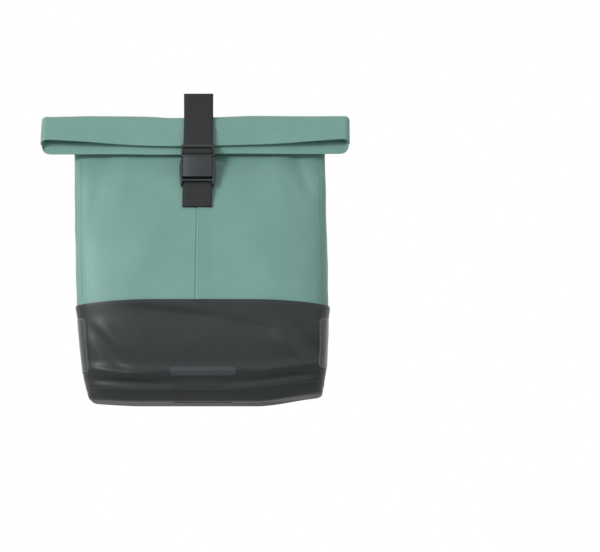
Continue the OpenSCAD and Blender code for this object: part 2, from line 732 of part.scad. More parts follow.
// Lower track and hook
track_half_h = 9;
track_cavity_h = 7;
track_slot_h = 3.5;
track_out_y = 8;
track_inner_y = 6.2;
module lower_track() {
    color("#2b2f31") channel(track_l, track_half_h, track_cavity_h, track_slot_h, track_out_y,
        track_inner_y, track_bolt_xs, track_z);
}
module track_bolts() {
    color("#b4b6b8") bolts(track_bolt_xs, track_z, bolt_tip_y);
}
module track_nuts() {
    color("#b4b6b8") nuts(track_bolt_xs, track_z, nut_seat_y);
}
module lower_hook() {
    plate_y = track_out_y + run;
    color("#2b2f31") in_place() translate([0, 0, track_z]) {
        along_x(14) polygon([[cavity_y + run, -track_cavity_h + run],
            [track_inner_y - run, -track_cavity_h + run], [track_inner_y - run, -track_slot_h + run],
            [plate_y, -track_slot_h + run], [plate_y, -15], [plate_y + 4, -15], [plate_y + 4, 15],
            [plate_y, 15], [plate_y, track_slot_h - run], [track_inner_y - run, track_slot_h - run],
            [track_inner_y - run, track_cavity_h - run], [cavity_y + run, track_cavity_h - run]]);
        translate([0, 0, -15]) linear_extrude(30) polygon([[-7, plate_y + 2], [7, plate_y + 2],
            [7, fin_reach - 4], [24, fin_reach - 4], [24, fin_reach], [-3, fin_reach],
            [-7, fin_reach - 6]]);
    }
}

front_left_panel();
front_right_panel();
left_gusset();
right_gusset();
back_panel();
lower_front_panel();
lower_left_side();
lower_right_side();
lower_back_panel();
base_panel();
front_patch();
base_patch();
left_reflector();
right_reflector();
back_board();
base_board();
mouth_outer_layer();
mouth_inner_layer();
load_strap();
back_strap();
lower_strap();
buckle_top();
buckle_base();
buckle_top_magnet();
buckle_base_magnet();
top_rail();
rail_end_caps();
rail_bolts();
rail_nuts();
left_hook();
right_hook();
left_tube_liner();
right_tube_liner();
left_latch();
right_latch();
left_latch_pin();
right_latch_pin();
left_latch_spring();
right_latch_spring();
carry_handle();
handle_rivets();
lower_track();
track_bolts();
track_nuts();
lower_hook();
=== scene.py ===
import json
import math
import random

import bmesh
import bpy
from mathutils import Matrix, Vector, noise


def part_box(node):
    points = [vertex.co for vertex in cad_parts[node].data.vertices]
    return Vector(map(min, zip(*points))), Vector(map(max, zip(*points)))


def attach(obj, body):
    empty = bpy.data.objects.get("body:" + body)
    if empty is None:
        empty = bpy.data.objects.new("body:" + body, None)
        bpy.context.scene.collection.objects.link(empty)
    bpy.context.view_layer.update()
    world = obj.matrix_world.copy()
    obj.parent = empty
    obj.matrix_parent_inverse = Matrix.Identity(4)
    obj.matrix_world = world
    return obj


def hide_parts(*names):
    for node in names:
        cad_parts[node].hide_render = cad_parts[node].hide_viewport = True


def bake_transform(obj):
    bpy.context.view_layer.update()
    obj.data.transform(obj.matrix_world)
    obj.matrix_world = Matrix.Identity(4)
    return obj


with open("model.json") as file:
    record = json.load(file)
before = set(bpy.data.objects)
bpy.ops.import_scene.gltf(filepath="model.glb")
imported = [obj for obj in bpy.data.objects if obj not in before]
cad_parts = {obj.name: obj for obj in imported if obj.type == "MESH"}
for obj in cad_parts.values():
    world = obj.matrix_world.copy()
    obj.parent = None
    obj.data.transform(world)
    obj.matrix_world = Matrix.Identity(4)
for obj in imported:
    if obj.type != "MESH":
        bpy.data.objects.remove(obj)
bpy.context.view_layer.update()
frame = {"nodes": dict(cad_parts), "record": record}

random.seed(7)

# ---------------------------------------------------------------- upper cloth
# The green part of the bag: PU-coated polyester cloth, cut as two front panels, two gussets and a
# back, sewn inside out. The coating gives it a soft, even, slightly waxy face, and the cloth is
# stiff enough to stand in long shallow folds.

def mm_box(node):
    """A node's lowest and highest corner, in millimetres."""
    low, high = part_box(node)
    return Vector(low) * 1000, Vector(high) * 1000


def linear(code):
    """An sRGB hex colour as a linear RGBA colour."""
    parts = [int(code[i:i + 2], 16) / 255 for i in (1, 3, 5)]
    return (*[c / 12.92 if c <= 0.04045 else ((c + 0.055) / 1.055) ** 2.4 for c in parts], 1)


def node(tree, kind, links=None, **settings):
    """Add a shader node, set its properties and sockets, and link other nodes' outputs to it."""
    new = tree.nodes.new("ShaderNode" + kind)
    for name, value in settings.items():
        if hasattr(new, name):
            setattr(new, name, value)
        else:
            new.inputs[name.replace("_", " ")].default_value = value
    for name, source in (links or {}).items():
        tree.links.new(source, new.inputs[name])
    return new


def new_material(name):
    """An empty node material with its output node."""
    material = bpy.data.materials.new(name)
    material.use_nodes = True
    tree = material.node_tree
    tree.nodes.clear()
    return material, tree, tree.nodes.new("ShaderNodeOutputMaterial")


def smooth(t):
    """A step that starts and ends level."""
    t = min(max(t, 0.0), 1.0)
    return t * t * (3 - 2 * t)


def along_rows(z, rows):
    """A smooth curve through (height, value) rows."""
    n = len(rows)
    i = 0
    while i < n - 2 and z > rows[i + 1][0]:
        i += 1
    (za, va), (zb, vb) = rows[i], rows[i + 1]
    slope = (vb - va) / (zb - za)
    before = (va - rows[i - 1][1]) / (za - rows[i - 1][0]) if i > 0 else slope
    after = (rows[i + 2][1] - vb) / (rows[i + 2][0] - zb) if i < n - 2 else slope
    ma = 2 * before * slope / (before + slope) if before * slope > 0 else 0.0
    mb = 2 * slope * after / (slope + after) if slope * after > 0 else 0.0
    h = zb - za
    t = (z - za) / h
    return (va * (2 * t ** 3 - 3 * t ** 2 + 1) + h * ma * (t ** 3 - 2 * t ** 2 + t)
            + vb * (3 * t ** 2 - 2 * t ** 3) + h * mb * (t ** 3 - t ** 2))


hinge = next(Vector(j["pos_m"]) * 1000 for j in frame["record"]["behaviour"]["joints"]
             if j["name"] == "roll_open")
fold_z = hinge.z
back_y = mm_box("back_panel")[1].y
bag_depth = back_y - mm_box("lower_front_panel")[0].y
seam_z = mm_box("lower_front_panel")[1].z
base_seam_z = mm_box("base_panel")[1].z
base_half = mm_box("base_panel")[1].x
neck_back = 8.0                        # the neck stands this far forward of the back panel
neck_front = back_y - hinge.y - 0.2


def share(part):
    """A depth between the neck's and the bag's fullest."""
    return neck_front + part * (bag_depth - neck_front)


depth_rows = [(0, share(0.87) - 9), (4, share(0.87) - 3.6), (base_seam_z, share(0.92)),
              (39, share(0.98)), (0.2 * fold_z, bag_depth), (seam_z, share(0.95)),
              (0.545 * fold_z, share(0.77)), (0.68 * fold_z, share(0.56)),
              (0.79 * fold_z, share(0.38)), (0.9 * fold_z, 30.0), (fold_z, neck_front)]
back_rows = [(0, 5.4), (4, 2.2), (base_seam_z, 0.2), (0.87 * fold_z, 0.2),
             (0.94 * fold_z, neck_back), (fold_z, neck_back)]
width_rows = [(0, base_half - 6), (4, base_half - 3), (base_seam_z, base_half - 1.5),
              (39, base_half + 3), (seam_z, 160), (0.9 * fold_z, 163), (0.945 * fold_z, 181),
              (fold_z, 196.5)]
FRONT_POWER = 5             # how square the corners are, front and back
BACK_POWER = 14
PLEAT_DEPTH = 19            # the sides fold in by this much below the mouth
SIDE_LEAN = 0.032           # the bag leans to the right by this share of the way down
MOUTH_SHIFT = 4.1           # the ends of the mouth stand this far to the left
RIGHT_RISE = 10.5           # how far the lower corners are lifted
LEFT_RISE = 3.0


def crease(x, z, start, end, width, height):
    """A soft ridge, or with a negative height a valley, between two points of the front."""
    along = Vector(end) - Vector(start)
    reach = Vector((x, z)) - Vector(start)
    t = reach.dot(along) / along.length_squared
    off = abs(reach.x * along.y - reach.y * along.x) / along.length / width
    if off > 3 or t < -0.3 or t > 1.3:
        return 0.0
    fade = smooth((t + 0.3) / 0.6) * smooth((1.3 - t) / 0.6)
    return height * fade * math.exp(-off * off)


# Long folds of the loaded cloth: start and end on the front, half width and height
FOLDS = [
    ((-92, 117), (10, 106), 7, -1.5), ((0, 106), (90, 88), 8, -1.1),
    ((-140, 92), (-104, 44), 8, -1.4), ((-128, 96), (-96, 58), 8, 0.7),
    ((-150, 40), (-70, 31), 6, 1.8), ((-150, 27), (-40, 21), 5, -1.4),
    ((60, 30), (140, 38), 7, 1.9), ((30, 22), (140, 26), 5, -1.4),
    ((-120, 35), (130, 40), 7, 1.0), ((-140, 24), (140, 28), 6, -1.1),
    ((112, 100), (142, 52), 9, -1.6), ((96, 84), (128, 40), 8, 1.2),
    ((-120, 330), (-136, 250), 9, -1.2), ((-96, 322), (-104, 262), 10, 0.9),
    ((122, 334), (140, 272), 9, -2.2), ((96, 330), (108, 262), 10, 1.0),
    ((-40, 250), (-100, 150), 22, 0.8), ((44, 246), (112, 150), 22, 0.8),
    ((-30, 262), (-120, 300), 12, -0.7), ((30, 262), (120, 304), 12, -0.7),
]
GUSSET_SEAM = 1.15          # where the gussets start, in u


def surface(u, z, lift=0.0):
    """A point of the bag's outside. u runs once round: -1..1 front, 1..3 right, 3..5 back."""
    if u < -1:
        u += 8
    px, pq = ((u, 1) if u <= 1 else (1, 2 - u) if u <= 3 else (4 - u, -1) if u <= 5
              else (-1, u - 6))
    power = FRONT_POWER if pq >= 0 else BACK_POWER
    scale = (abs(px) ** power + abs(pq) ** power) ** (-1 / power)
    sx, sq = px * scale, pq * scale
    depth = along_rows(z, depth_rows)
    back = along_rows(z, back_rows)
    width = along_rows(z, width_rows)
    # The sides are drawn in to a pleat below the mouth
    closing = smooth((z - 232) / 84) * (1 - smooth((z - 338) / 24))
    pleat = PLEAT_DEPTH * closing * max(0.0, 1 - abs(pq + 0.15) / 0.42)
    half_depth = (depth - back) / 2 + lift
    if abs(px) == 1:
        seam_off = (1 - pq - (GUSSET_SEAM - 1)) * half_depth
        pleat += 0.6 * math.exp(-(seam_off / 1.1) ** 2)
    x = sx * (width + lift) - math.copysign(pleat, sx) * (abs(sx) > 0.8)
    y = back_y - (depth + back) / 2 - sq * half_depth
    # On the front: the folds, the lapped edge at the centre seam and the groove beside it
    if pq > 0.2:
        front = smooth((pq - 0.2) / 0.8)
        y -= front * sum(crease(x, z, *fold) for fold in FOLDS) * (1.9 if z < seam_z else 1.5)
        if z > seam_z - 2:
            y -= 0.9 * smooth((x + 0.5) / 1.0) * (1 - smooth((x - 7) / 14))
            y += 1.8 * math.exp(-(x / 0.6) ** 2)
    # The cloth is a little uneven all over, except along the base seam
    grain = noise.noise(Vector((x, y * 1.3, z)) / 46) * 1.1
    grain += noise.noise(Vector((x + 90, y, z)) / 19) * 0.22
    soft = smooth(z / 18)
    x += math.copysign(grain * soft, sx) * (abs(sx) > 0.9)
    y -= grain * soft * (sq if abs(sq) > 0.6 else 0)
    # The bag leans, its mouth is shifted and its lower corners are lifted
    x += SIDE_LEAN * (fold_z - z) * max(smooth(abs(x) / 90), 1 - z / 75)
    x -= MOUTH_SHIFT * smooth((z - 335) / 22) * abs(sx)
    start = 75 - 45 * smooth(z / base_seam_z)
    corner = RIGHT_RISE * smooth((x - start) / (165 - start))
    corner += LEFT_RISE * smooth((-x - 70) / 80)
    return Vector((x, y, z + corner * (1 - smooth(z / 120))))


def surface_normal(u, z):
    """The outward direction of the bag's outside."""
    du, dz = 0.004, 0.6
    a = surface(u + du, z) - surface(u - du, z)
    b = surface(u, z + dz) - surface(u, z - dz)
    return a.cross(b).normalized()


def grid_mesh(name, rows, closed=False, inside_out=False):
    """A mesh over rows of points in millimetres, with UVs in metres along rows and columns."""
    mesh = bpy.data.meshes.new(name)
    n = len(rows[0])
    points = [p / 1000 for row in rows for p in row]
    faces, corners = [], []
    columns = [0.0]
    for i in range(n if closed else n - 1):
        middle = rows[len(rows) // 2]
        columns.append(columns[-1] + (middle[(i + 1) % n] - middle[i]).length / 1000)
    heights = [0.0]
    for j in range(len(rows) - 1):
        step = (rows[j + 1][n // 2] - rows[j][n // 2]).length / 1000
        heights.append(heights[-1] + step)
    for j in range(len(rows) - 1):
        for i in range(n if closed else n - 1):
            k = (i + 1) % n
            face = [(j * n + i, i, j), (j * n + k, i + 1, j),
                    ((j + 1) * n + k, i + 1, j + 1), ((j + 1) * n + i, i, j + 1)]
            if inside_out:
                face.reverse()
            faces.append([f[0] for f in face])
            corners.extend((columns[f[1]], heights[f[2]]) for f in face)
    mesh.from_pydata(points, [], faces)
    layer = mesh.uv_layers.new(name="cloth")
    for loop, uv in zip(layer.data, corners):
        loop.uv = uv
    mesh.polygons.foreach_set("use_smooth", [True] * len(mesh.polygons))
    return mesh


def add_piece(name, mesh, material, body, replaced=()):
    """Put a mesh in the scene as a finished piece of the bag."""
    piece = bpy.data.objects.new(name, mesh)
    bpy.context.scene.collection.objects.link(piece)
    piece.data.materials.append(material)
    if body:
        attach(piece, body)
    if replaced:
        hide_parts(*replaced)
    return piece


def apply_modifiers(piece):
    """Turn a piece's modifiers into plain mesh."""
    graph = bpy.context.evaluated_depsgraph_get()
    mesh = bpy.data.meshes.new_from_object(piece.evaluated_get(graph))
    piece.modifiers.clear()
    old = piece.data
    piece.data = mesh
    bpy.data.meshes.remove(old)


def thicken(piece, thickness, offset=-1.0, edge=0.0):
    """Give a sheet its thickness in millimetres, inwards, with slightly rounded edges."""
    solid = piece.modifiers.new("thickness", "SOLIDIFY")
    solid.thickness = thickness / 1000
    solid.offset = offset
    if edge:
        bevel = piece.modifiers.new("edge", "BEVEL")
        bevel.width = edge / 1000
        bevel.segments = 2
        bevel.limit_method = "ANGLE"
        bevel.angle_limit = math.radians(50)
    apply_modifiers(piece)


def wave_scale(period):
    """The scale at which a wave texture's bands repeat once in this many metres."""
    return 1 / period / 3.2


def coated_cloth(name, face, shade, rough):
    """PU-coated cloth: an even waxy skin through which the weave shows as a faint grain."""
    material, tree, output = new_material(name)
    place = node(tree, "TexCoord")
    # The base cloth has 0.5 mm threads, drawn at 1.1 mm so that they show
    weft = node(tree, "TexWave", {"Vector": place.outputs["UV"]}, bands_direction="X",
                Scale=wave_scale(0.0011), Distortion=0.3)
    warp = node(tree, "TexWave", {"Vector": place.outputs["UV"]}, bands_direction="Y",
                Scale=wave_scale(0.0011), Distortion=0.3)
    weave = node(tree, "Math", {0: weft.outputs["Fac"], 1: warp.outputs["Fac"]},
                 operation="MULTIPLY")
    pores = node(tree, "TexNoise", {"Vector": place.outputs["Object"]}, Scale=900.0, Detail=3.0)
    cloud = node(tree, "TexNoise", {"Vector": place.outputs["Object"]}, Scale=14.0, Detail=4.0,
                 Roughness=0.6)
    tone = node(tree, "ValToRGB", {"Fac": cloud.outputs["Fac"]})
    tone.color_ramp.elements[0].position = 0.3
    tone.color_ramp.elements[0].color = linear(shade)
    tone.color_ramp.elements[1].position = 0.72
    tone.color_ramp.elements[1].color = linear(face)
    gloss = node(tree, "MapRange", {"Value": cloud.outputs["Fac"]})
    gloss.inputs["To Min"].default_value = rough + 0.05
    gloss.inputs["To Max"].default_value = rough - 0.05
    skin = node(tree, "Bump", {"Height": weave.outputs[0]}, Strength=0.10, Distance=0.0004)
    grain = node(tree, "Bump", {"Height": pores.outputs["Fac"], "Normal": skin.outputs[0]},
                 Strength=0.12, Distance=0.0003)
    shader = node(tree, "BsdfPrincipled", {"Base Color": tone.outputs[0],
                  "Roughness": gloss.outputs[0], "Normal": grain.outputs[0]}, IOR=1.46,
                  Sheen_Weight=0.07, Sheen_Roughness=0.5)
    tree.links.new(shader.outputs[0], output.inputs[0])
    return material


green_cloth = coated_cloth("PU-coated polyester, sage green", "#7AA59B", "#739E94", 0.50)
# Where the cloth meshes have their columns, in u: closest together along the seams
SIDE_US = [1.04, 1.08, 1.11, 1.125, 1.135, 1.143, 1.15, 1.157, 1.165, 1.18, 1.21,
           *[1.25 + i * 0.05 for i in range(35)]]
CENTRE_US = [-0.022, -0.014, -0.0085, -0.0045, 0, 0.0045, 0.0085, 0.014, 0.022]
column_us = ([-1 + i / 34 for i in range(0, 33)] + CENTRE_US + [i / 34 for i in range(2, 35)]
             + SIDE_US + [3 + i / 24 for i in range(0, 49)] + [8 - u for u in SIDE_US[::-1]])
SEAM_DIP = 6.0
BACK_TOP, SIDE_TOP, FRONT_TOP = 346, 351, 360


def seam_height(u):
    """The seam between the two cloths dips a little towards the sides."""
    edge = abs(u) if u <= 4 else abs(u - 8)
    return seam_z + 1.5 - SEAM_DIP * smooth((edge - 0.35) / 1.0)


def top_height(u):
    """The body cloth ends lowest at the back, where it laps over the mouth cloth."""
    side = abs(u - 4) if u > -1 else abs(u + 4)
    side = min(side, 8 - side)
    return (BACK_TOP + (SIDE_TOP - BACK_TOP) * smooth((side - 0.95) / 0.4)
            + (FRONT_TOP - SIDE_TOP) * smooth((side - 2.75) / 0.3))


upper_rows = []
UPPER_STEPS = 76
for j in range(UPPER_STEPS + 1):
    t = j / UPPER_STEPS
    upper_rows.append([surface(u, (seam_height(u) - 3) * (1 - t) + top_height(u) * t)
                       for u in column_us])
upper_body = add_piece("upper_body_cloth", grid_mesh("upper_body_cloth", upper_rows, closed=True),
                       green_cloth, "bag",
                       ["front_left_panel", "front_right_panel", "left_gusset", "right_gusset",
                        "back_panel"])
thicken(upper_body, 1.4)


def thread_material(name, colour):
    """Bonded polyester sewing thread: twisted, slightly shiny."""
    material, tree, output = new_material(name)
    place = node(tree, "TexCoord")
    twist = node(tree, "TexWave", {"Vector": place.outputs["Object"]}, Scale=700.0,
                 bands_direction="DIAGONAL")
    bump = node(tree, "Bump", {"Height": twist.outputs["Fac"]}, Strength=0.4, Distance=0.0001)
    shader = node(tree, "BsdfPrincipled", {"Normal": bump.outputs[0]}, Base_Color=linear(colour),
                  Roughness=0.42, IOR=1.5, Sheen_Weight=0.2)
    tree.links.new(shader.outputs[0], output.inputs[0])
    return material


def stitch_row(name, points, normals, material, body, pitch=3.4, radius=0.24):
    """A row of lockstitches along a line of points in millimetres."""
    lengths = [0.0]
    for a, b in zip(points, points[1:]):
        lengths.append(lengths[-1] + (b - a).length)

    def at(distance):
        i = 0
        while i < len(lengths) - 2 and lengths[i + 1] < distance:
            i += 1
        part = (distance - lengths[i]) / max(lengths[i + 1] - lengths[i], 1e-6)
        return points[i].lerp(points[i + 1], part), normals[i].lerp(normals[i + 1], part)

    vertices, faces = [], []
    # Each ring's place along its stitch, its thickness and its height above the cloth
    profile = [(0.0, 0.25, -0.5), (0.14, 0.85, 0.25), (0.5, 1.0, 0.5), (0.86, 0.85, 0.25),
               (1.0, 0.25, -0.5)]
    for k in range(int(lengths[-1] / pitch)):
        start = k * pitch + random.uniform(-0.08, 0.08) + pitch * 0.12
        base = len(vertices)
        length = pitch * 0.76
        for part, thick, rise in profile:
            point, normal = at(min(max(start + part * length, 0), lengths[-1]))
            ahead = at(min(start + length, lengths[-1]))[0] - at(max(start, 0))[0]
            across = ahead.cross(normal).normalized()
            centre = point + normal * rise * radius
            for side in range(6):
                angle = side * math.pi / 3
                vertices.append((centre + (across * math.cos(angle) + normal * math.sin(angle))
                                 * radius * thick) / 1000)
        for ring in range(4):
            for side in range(6):
                near = base + ring * 6
                faces.append((near + side, near + (side + 1) % 6, near + 6 + (side + 1) % 6,
                              near + 6 + side))
        faces.append([base + side for side in range(5, -1, -1)])
        faces.append([base + 24 + side for side in range(6)])
    mesh = bpy.data.meshes.new(name)
    mesh.from_pydata(vertices, [], faces)
    mesh.polygons.foreach_set("use_smooth", [True] * len(mesh.polygons))
    return add_piece(name, mesh, material, body)


green_thread = thread_material("bonded thread, green", "#5E8478")
centre_zs = [seam_z + 4 + i * 2.5 for i in range(60)]
centre_u = 2.6 / 163                   # 2.6 mm to the right of the middle
stitch_row("centre_topstitch", [surface(centre_u, z, 0.1) for z in centre_zs],
           [surface_normal(centre_u, z) for z in centre_zs], green_thread, "bag")
for side, side_name in ((1, "right"), (-1, "left")):
    u_line = side * (GUSSET_SEAM + 0.045)
    zs = [seam_z + 6 + i * 3 for i in range(64)]
    stitch_row(side_name + "_gusset_stitch", [surface(u_line, z, 0.1) for z in zs],
               [surface_normal(u_line, z) for z in zs], green_thread, "bag")
back_us = [3.1 + i * 0.05 for i in range(37)]
NECK_STITCH_Z = 343.6
stitch_row("back_neck_stitch", [surface(u, NECK_STITCH_Z, 0.1) for u in back_us],
           [surface_normal(u, NECK_STITCH_Z) for u in back_us], green_thread, "bag")

# ---------------------------------------------------------------- lower cloth
# The dark tub of the bag: the same coated cloth in a heavier grade, lapped over the green cloth
# and topstitched, with a flat base let in below. It carries the load, so it bellies and creases.

black_cloth = coated_cloth("PU-coated polyester, anthracite", "#212728", "#1C2122", 0.46)
LAP = 1.5                   # how far the dark cloth stands out over the green at the seam
lower_rows = []
LOWER_STEPS = 60
for j in range(LOWER_STEPS + 1):
    t = j / LOWER_STEPS
    lower_rows.append([surface(u, (base_seam_z - 0.6) * (1 - t) + seam_height(u) * t,
                               LAP * smooth((t - 0.8) / 0.2) + 0.1) for u in column_us])
lower_body = add_piece("lower_body_cloth", grid_mesh("lower_body_cloth", lower_rows, closed=True),
                       black_cloth, "bag",
                       ["lower_front_panel", "lower_left_side", "lower_right_side",
                        "lower_back_panel"])
thicken(lower_body, 1.6, edge=0.35)

black_thread = thread_material("bonded thread, anthracite", "#4A4F51")
ring_us = [-3 + i * 0.04 for i in range(201)]
stitch_row("seam_topstitch", [surface(u, seam_height(u) - 3.2, LAP + 0.2) for u in ring_us],
           [surface_normal(u, seam_height(u) - 3.2) for u in ring_us], black_thread, "bag")
stitch_row("base_topstitch", [surface(u, base_seam_z + 2.4, 0.2) for u in ring_us],
           [surface_normal(u, base_seam_z + 2.4) for u in ring_us], black_thread, "bag")

# The base: one piece of the heavy cloth, sewn up inside the tub, its edge showing as a thin roll
base_rows = []
for z, lift in ((15, -1.2), (13.4, -0.9), (12.2, -0.2), (11, -0.1), (9, 0), (7, 0), (5, 0),
                (3.5, 0), (2.2, -0.2), (1.2, -0.7), (0.5, -1.6), (0.2, -2.8)):
    base_rows.append([surface(u, z, lift) for u in column_us])
rim = base_rows[-1]
BASE_MIDDLE_X = 8.0
middle = Vector((BASE_MIDDLE_X, back_y - share(0.45), 0.0))
for part in (0.97, 0.92, 0.84, 0.72, 0.56, 0.38, 0.2, 0.08):
    row = []
    for p in rim:
        q = middle.lerp(p, part)
        q.z = 0.3 + (p.z - 0.3) * part ** 1.6 + noise.noise(q / 31) * 0.3 * (1 - part)
        row.append(q)
    base_rows.append(row)
base_cloth = add_piece("base_cloth", grid_mesh("base_cloth", base_rows, closed=True,
                       inside_out=True), black_cloth, "bag", ["base_panel"])
# Close the small hole left in the middle of the base
cap = bmesh.new()
cap.from_mesh(base_cloth.data)
bmesh.ops.holes_fill(cap, edges=[e for e in cap.edges if e.is_boundary
                     and max(v.co.z for v in e.verts) < 0.004
                     and abs(e.verts[0].co.x - BASE_MIDDLE_X / 1000) < 0.02])
bmesh.ops.recalc_face_normals(cap, faces=cap.faces)
cap.to_mesh(base_cloth.data)
cap.free()
thicken(base_cloth, 1.8)

# ---------------------------------------------------------------- patches and reflectors
# A moulded rubber badge bar with no marking, a blank rubber label under the base, and two dark
# reflective transfers at the front corners, each held by a line of light thread.


def moulded_rubber(name, colour):
    """Injection-moulded soft rubber: matt, with a fine even texture from the mould."""
    material, tree, output = new_material(name)
    place = node(tree, "TexCoord")
    grain = node(tree, "TexVoronoi", {"Vector": place.outputs["Object"]}, Scale=1500.0)
    bump = node(tree, "Bump", {"Height": grain.outputs["Distance"]}, Strength=0.15,
                Distance=0.0002)
    shader = node(tree, "BsdfPrincipled", {"Normal": bump.outputs[0]}, Base_Color=linear(colour),
                  Roughness=0.5, IOR=1.5)
    tree.links.new(shader.outputs[0], output.inputs[0])
    return material


def rounded_outline(half_w, half_h, radius, steps=8):
    """The outline of a rounded rectangle, once round."""
    corners = []
    for cx, cy, start in ((1, 1, 0), (-1, 1, 90), (-1, -1, 180), (1, -1, 270)):
        for i in range(steps + 1):
            angle = math.radians(start + 90 * i / steps)
            corners.append((cx * (half_w - radius) + radius * math.cos(angle),
                            cy * (half_h - radius) + radius * math.sin(angle)))
    points = []
    for a, b in zip(corners, corners[1:] + corners[:1]):
        count = max(1, round(math.dist(a, b) / 2))
        points += [(a[0] + (b[0] - a[0]) * k / count, a[1] + (b[1] - a[1]) * k / count)
                   for k in range(count)]
    return points


def patch(name, on_bag, half_w, half_h, radius, thick, material, replaced):
    """A rounded patch on the bag: on_bag turns flat millimetres and a lift into a point."""
    rows = []
    outline = rounded_outline(half_w, half_h, radius)
    # From the middle of the underside out round the raised rim and in over the face
    face = thick * 0.8
    for part, lift in ((0.0, -0.2), (0.9, -0.2), (1.0, -0.1), (1.0, thick * 0.7), (0.985, thick),
                       (0.93, thick), (0.9, face), (0.7, face), (0.45, face), (0.2, face),
                       (0.0, face)):
        inset = (1 - part) * min(half_w, half_h)
        wide, high = 1 - inset / half_w, 1 - inset / half_h
        rows.append([on_bag(a * wide, b * high, lift) for a, b in outline])
    mesh = grid_mesh(name, rows, closed=True)
    weld = bmesh.new()
    weld.from_mesh(mesh)
    bmesh.ops.remove_doubles(weld, verts=weld.verts, dist=1e-5)
    weld.to_mesh(mesh)
    weld.free()
    return add_piece(name, mesh, material, "bag", replaced)


label_rubber = moulded_rubber("TPU badge, dark grey", "#363C3E")
patch("front_badge", lambda a, b, lift: surface((4.2 + a) / 156, 37.4 + b, 0.1 + lift),
      42, 5.8, 5.4, 0.7, label_rubber, ["front_patch"])
patch("base_label", lambda a, b, lift: Vector((BASE_MIDDLE_X - a, middle.y + b, 0.1 - lift)),
      37, 25, 5, 0.6, label_rubber, ["base_patch"])


def reflective_film(name):
    """Dark glass-bead reflective film: grey, with a fine painted sparkle of beads, lighter at each
    bead's middle and darker between beads.
    """
    material, tree, output = new_material(name)
    place = node(tree, "TexCoord")
    beads = node(tree, "TexVoronoi", {"Vector": place.outputs["Object"]}, Scale=2600.0)
    # The colour is lighter at each bead's middle and darker between beads: painted glints and
    # painted shade.
    tone = node(tree, "ValToRGB", {"Fac": beads.outputs["Distance"]})
    tone.color_ramp.elements[0].color = linear("#303536")
    tone.color_ramp.elements[1].color = linear("#272B2C")
    shader = node(tree, "BsdfPrincipled", {"Base Color": tone.outputs[0]}, Roughness=0.38,
                  IOR=1.5, Coat_Weight=0.15)
    tree.links.new(shader.outputs[0], output.inputs[0])
    return material


film = reflective_film("glass-bead reflective film, dark")
REFLECTOR_U = 1.42          # where the reflectors' middles are round the corner
REFLECTOR_Z = 70
CORNER_MM = 62              # millimetres to one step of u there
grey_thread = thread_material("reflective thread, light grey", "#9BA1A2")
for side, side_name in ((1, "right"), (-1, "left")):
    def on_corner(a, b, lift, side=side):
        """A point of the side, from flat millimetres round the reflector's middle."""
        return surface(side * (REFLECTOR_U + a / CORNER_MM), REFLECTOR_Z + b, 0.3 + lift)

    patch(side_name + "_reflector_film", on_corner, 17, 36, 5, 0.25, film,
          [side_name + "_reflector"])
    loop = [Vector((a, b, 0)) for a, b in rounded_outline(15, 34, 4, 5)]
    dense = [loop[i].lerp(loop[(i + 1) % len(loop)], k / 6) for i in range(len(loop))
             for k in range(6)] + [loop[0]]
    stitch_row(side_name + "_reflector_stitch", [on_corner(p.x, p.y, 0.3) for p in dense],
               [surface_normal(side * (REFLECTOR_U + p.x / CORNER_MM), REFLECTOR_Z + p.y)
                for p in dense], grey_thread, "bag", pitch=3.0, radius=0.27)

# ---------------------------------------------------------------- rolled mouth
# The mouth is two layers of the green cloth welded together at their ends, with a turned hem
# along each lip. They are folded once over the front; the fold is soft and never quite straight.
HALF_MOUTH = mm_box("mouth_outer_layer")[1].x
FOLD_TURN = math.radians(160)
OUTER_R = 11.8
INNER_R = 3.0
WELD_R = 7.0                # both layers come to this radius at their welded ends
LIP_HALF = HALF_MOUTH - 1.5
MOUTH_COLUMNS = 120
FLAT_HALF = 21              # the cloth lies flat this far to each side, under the strap
HEM_DEPTH = 18
HEM_RISE = 0.9
LIP_PRESS = 3.6             # the strap draws the outer lip in towards the inner one


def folded(radius, along):
    """Depth and height on the fold: negative along goes down the neck, then over, then the flap."""
    if along < 0:
        return hinge.y + radius, fold_z + along
    arc = radius * FOLD_TURN
    if along < arc:
        angle = along / radius
        return hinge.y + radius * math.cos(angle), fold_z + radius * math.sin(angle)
    down = along - arc
    return (hinge.y + radius * math.cos(FOLD_TURN) - down * math.sin(FOLD_TURN),
            fold_z + radius * math.sin(FOLD_TURN) + down * math.cos(FOLD_TURN))


def mouth_wave(x, radius, along):
    """The unevenness of the mouth's cloth."""
    wave = noise.noise(Vector((x / 55, radius, along / 90))) * 0.6
    wave += noise.noise(Vector((x / 21, radius + 5, along / 60))) * 0.15
    return wave * smooth(max(0.0, abs(x) - FLAT_HALF) / 16)


def lip_press(part, past_fold, radius):
    """How far the strap draws a layer in below the fold; the ends of the mouth spring out."""
    press = LIP_PRESS * smooth(past_fold / 26) * (radius - INNER_R) / (OUTER_R - INNER_R)
    return press * (1 - 1.9 * smooth((abs(part) - 0.35) / 0.6))


def mouth_sag(part):
    """How far the roll hangs or rises along its length."""
    return 0.9 * math.sin(part * 2.6 + 0.6) + 0.6 * math.sin(part * 7.1)


